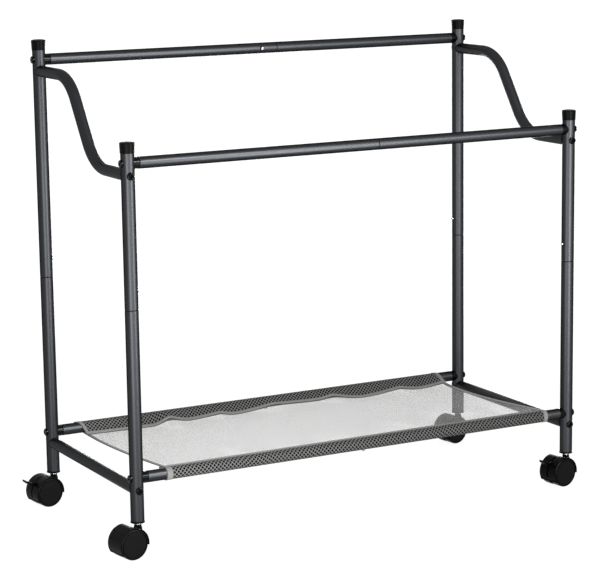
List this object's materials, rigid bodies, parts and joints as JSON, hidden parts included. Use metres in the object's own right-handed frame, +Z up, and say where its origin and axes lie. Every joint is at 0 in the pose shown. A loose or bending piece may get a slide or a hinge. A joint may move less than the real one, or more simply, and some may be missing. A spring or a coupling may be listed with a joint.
{
  "type": "newspaper rack",
  "caption": "Rolling tubular newspaper rack with a high rear rail, a low front rail, S-curved side tubes, a mesh sling shelf and hooded swivel casters.",
  "frame": {"origin": "on the floor, under the middle of the whole rack's bounding box", "axes": "+X along the rails, to the right seen from the front; +Y from the low front rail to the high rear rail; +Z up"},
  "size_m": [0.8966, 0.3994, 0.8005],
  "materials": {
    "tube_paint": "satin metallic charcoal",
    "black_plastic": "matte black",
    "wheel_plastic": "satin black",
    "chrome": "bright",
    "mesh_cloth": "light grey open mesh"
  },
  "bodies": {
    "frame": {"post_rear_left_lower": "tube_paint", "post_rear_left_upper": "tube_paint", "post_rear_right_lower": "tube_paint", "post_rear_right_upper": "tube_paint", "post_front_left_lower": "tube_paint", "post_front_left_upper": "tube_paint", "post_front_right_lower": "tube_paint", "post_front_right_upper": "tube_paint", "rail_rear_top_left": "tube_paint", "rail_rear_top_right": "tube_paint", "rail_front_top_left": "tube_paint", "rail_front_top_right": "tube_paint", "rail_rear_bottom_left": "tube_paint", "rail_rear_bottom_right": "tube_paint", "rail_front_bottom_left": "tube_paint", "rail_front_bottom_right": "tube_paint", "top_side_tube_left": "tube_paint", "bottom_side_tube_left": "tube_paint", "top_side_tube_right": "tube_paint", "bottom_side_tube_right": "tube_paint", "saddle_rear_top_left": "black_plastic", "saddle_rear_top_right": "black_plastic", "saddle_front_top_left": "black_plastic", "saddle_front_top_right": "black_plastic", "saddle_rear_bottom_left": "black_plastic", "saddle_rear_bottom_right": "black_plastic", "saddle_front_bottom_left": "black_plastic", "saddle_front_bottom_right": "black_plastic", "cap_rear_left": "black_plastic", "caster_socket_rear_left": "black_plastic", "cap_rear_right": "black_plastic", "caster_socket_rear_right": "black_plastic", "cap_front_left": "black_plastic", "caster_socket_front_left": "black_plastic", "cap_front_right": "black_plastic", "caster_socket_front_right": "black_plastic", "mesh_shelf": "mesh_cloth"},
    "caster_rear_left": {"caster_hood_rear_left": "black_plastic"},
    "caster_rear_right": {"caster_hood_rear_right": "black_plastic"},
    "caster_front_left": {"caster_hood_front_left": "black_plastic"},
    "caster_front_right": {"caster_hood_front_right": "black_plastic"},
    "wheel_rear_left_1": {"wheel_rear_left_1": "wheel_plastic"},
    "wheel_rear_left_2": {"wheel_rear_left_2": "wheel_plastic"},
    "wheel_rear_right_1": {"wheel_rear_right_1": "wheel_plastic"},
    "wheel_rear_right_2": {"wheel_rear_right_2": "wheel_plastic"},
    "wheel_front_left_1": {"wheel_front_left_1": "wheel_plastic"},
    "wheel_front_left_2": {"wheel_front_left_2": "wheel_plastic"},
    "wheel_front_right_1": {"wheel_front_right_1": "wheel_plastic"},
    "wheel_front_right_2": {"wheel_front_right_2": "wheel_plastic"},
    "brake_rear_left": {"brake_lever_rear_left": "black_plastic"},
    "brake_front_right": {"brake_lever_front_right": "black_plastic"},
    "button_post_rear_left": {"snap_button_post_rear_left": "chrome"},
    "button_post_rear_right": {"snap_button_post_rear_right": "chrome"},
    "button_post_front_left": {"snap_button_post_front_left": "chrome"},
    "button_post_front_right": {"snap_button_post_front_right": "chrome"},
    "button_rail_rear_top": {"snap_button_rail_rear_top": "chrome"},
    "button_rail_front_top": {"snap_button_rail_front_top": "chrome"},
    "button_rail_rear_bottom": {"snap_button_rail_rear_bottom": "chrome"},
    "button_rail_front_bottom": {"snap_button_rail_front_bottom": "chrome"}
  },
  "joints": [
    {"name": "swivel_rear_left", "type": "hinge", "parent": "frame", "child": "caster_rear_left", "pos_m": [-0.39267, 0.17932, 0.025], "axis": [0, 0, 1], "continuous": true},
    {"name": "swivel_rear_right", "type": "hinge", "parent": "frame", "child": "caster_rear_right", "pos_m": [0.43533, 0.17932, 0.025], "axis": [0, 0, 1], "continuous": true},
    {"name": "swivel_front_left", "type": "hinge", "parent": "frame", "child": "caster_front_left", "pos_m": [-0.39267, -0.17368, 0.025], "axis": [0, 0, 1], "continuous": true},
    {"name": "swivel_front_right", "type": "hinge", "parent": "frame", "child": "caster_front_right", "pos_m": [0.43533, -0.17368, 0.025], "axis": [0, 0, 1], "continuous": true},
    {"name": "spin_rear_left_1", "type": "hinge", "parent": "caster_rear_left", "child": "wheel_rear_left_1", "pos_m": [-0.41045, 0.1765, 0.025], "axis": [-0.1564, 0.9877, 0], "continuous": true},
    {"name": "spin_rear_left_2", "type": "hinge", "parent": "caster_rear_left", "child": "wheel_rear_left_2", "pos_m": [-0.41045, 0.1765, 0.025], "axis": [-0.1564, 0.9877, 0], "continuous": true},
    {"name": "spin_rear_right_1", "type": "hinge", "parent": "caster_rear_right", "child": "wheel_rear_right_1", "pos_m": [0.41755, 0.1765, 0.025], "axis": [-0.1564, 0.9877, 0], "continuous": true},
    {"name": "spin_rear_right_2", "type": "hinge", "parent": "caster_rear_right", "child": "wheel_rear_right_2", "pos_m": [0.41755, 0.1765, 0.025], "axis": [-0.1564, 0.9877, 0], "continuous": true},
    {"name": "spin_front_left_1", "type": "hinge", "parent": "caster_front_left", "child": "wheel_front_left_1", "pos_m": [-0.41045, -0.1765, 0.025], "axis": [-0.1564, 0.9877, 0], "continuous": true},
    {"name": "spin_front_left_2", "type": "hinge", "parent": "caster_front_left", "child": "wheel_front_left_2", "pos_m": [-0.41045, -0.1765, 0.025], "axis": [-0.1564, 0.9877, 0], "continuous": true},
    {"name": "spin_front_right_1", "type": "hinge", "parent": "caster_front_right", "child": "wheel_front_right_1", "pos_m": [0.41755, -0.1765, 0.025], "axis": [-0.1564, 0.9877, 0], "continuous": true},
    {"name": "spin_front_right_2", "type": "hinge", "parent": "caster_front_right", "child": "wheel_front_right_2", "pos_m": [0.41755, -0.1765, 0.025], "axis": [-0.1564, 0.9877, 0], "continuous": true},
    {"name": "brake_rear_left_press", "type": "hinge", "parent": "caster_rear_left", "child": "brake_rear_left", "pos_m": [-0.42329, 0.17447, 0.035], "axis": [-0.1564, 0.9877, 0], "range_deg": [-20, 0]},
    {"name": "brake_front_right_press", "type": "hinge", "parent": "caster_front_right", "child": "brake_front_right", "pos_m": [0.40471, -0.17853, 0.035], "axis": [-0.1564, 0.9877, 0], "range_deg": [-20, 0]},
    {"name": "button_post_rear_left_press", "type": "slide", "parent": "frame", "child": "button_post_rear_left", "axis": [-1, 0, 0], "range_m": [0, 0.0045], "stiffness_N_per_m": 300, "springref_m": -0.004},
    {"name": "button_post_rear_right_press", "type": "slide", "parent": "frame", "child": "button_post_rear_right", "axis": [1, 0, 0], "range_m": [0, 0.0045], "stiffness_N_per_m": 300, "springref_m": -0.004},
    {"name": "button_post_front_left_press", "type": "slide", "parent": "frame", "child": "button_post_front_left", "axis": [-1, 0, 0], "range_m": [0, 0.0045], "stiffness_N_per_m": 300, "springref_m": -0.004},
    {"name": "button_post_front_right_press", "type": "slide", "parent": "frame", "child": "button_post_front_right", "axis": [1, 0, 0], "range_m": [0, 0.0045], "stiffness_N_per_m": 300, "springref_m": -0.004},
    {"name": "button_rail_rear_top_press", "type": "slide", "parent": "frame", "child": "button_rail_rear_top", "axis": [0, 1, 0], "range_m": [0, 0.0045], "stiffness_N_per_m": 300, "springref_m": -0.004},
    {"name": "button_rail_front_top_press", "type": "slide", "parent": "frame", "child": "button_rail_front_top", "axis": [0, -1, 0], "range_m": [0, 0.0045], "stiffness_N_per_m": 300, "springref_m": -0.004},
    {"name": "button_rail_rear_bottom_press", "type": "slide", "parent": "frame", "child": "button_rail_rear_bottom", "axis": [0, 0, 1], "range_m": [0, 0.0045], "stiffness_N_per_m": 300, "springref_m": -0.004},
    {"name": "button_rail_front_bottom_press", "type": "slide", "parent": "frame", "child": "button_rail_front_bottom", "axis": [0, 0, 1], "range_m": [0, 0.0045], "stiffness_N_per_m": 300, "springref_m": -0.004}
  ]
}
